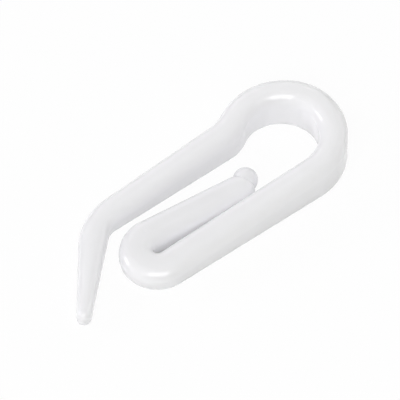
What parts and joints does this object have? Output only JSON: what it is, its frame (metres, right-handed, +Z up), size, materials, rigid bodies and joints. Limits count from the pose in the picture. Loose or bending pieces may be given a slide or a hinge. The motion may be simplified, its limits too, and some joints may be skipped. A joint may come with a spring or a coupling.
{
  "type": "curtain hook",
  "caption": "Moulded plastic curtain hook: a flat spiral bar with a round eye, a pointed tail turned inward and a springy tongue that ends in a small ball.",
  "frame": {"origin": "under the middle of the hook, on the surface it lies on", "axes": "+X along the legs towards the round eye, +Y from the lower leg towards the upper leg, +Z up from the flat underside"},
  "size_m": [0.032, 0.012, 0.0046],
  "materials": {
    "white_nylon": "semi-gloss, slightly translucent"
  },
  "bodies": {
    "root": {"hook": "white_nylon"}
  },
  "joints": []
}
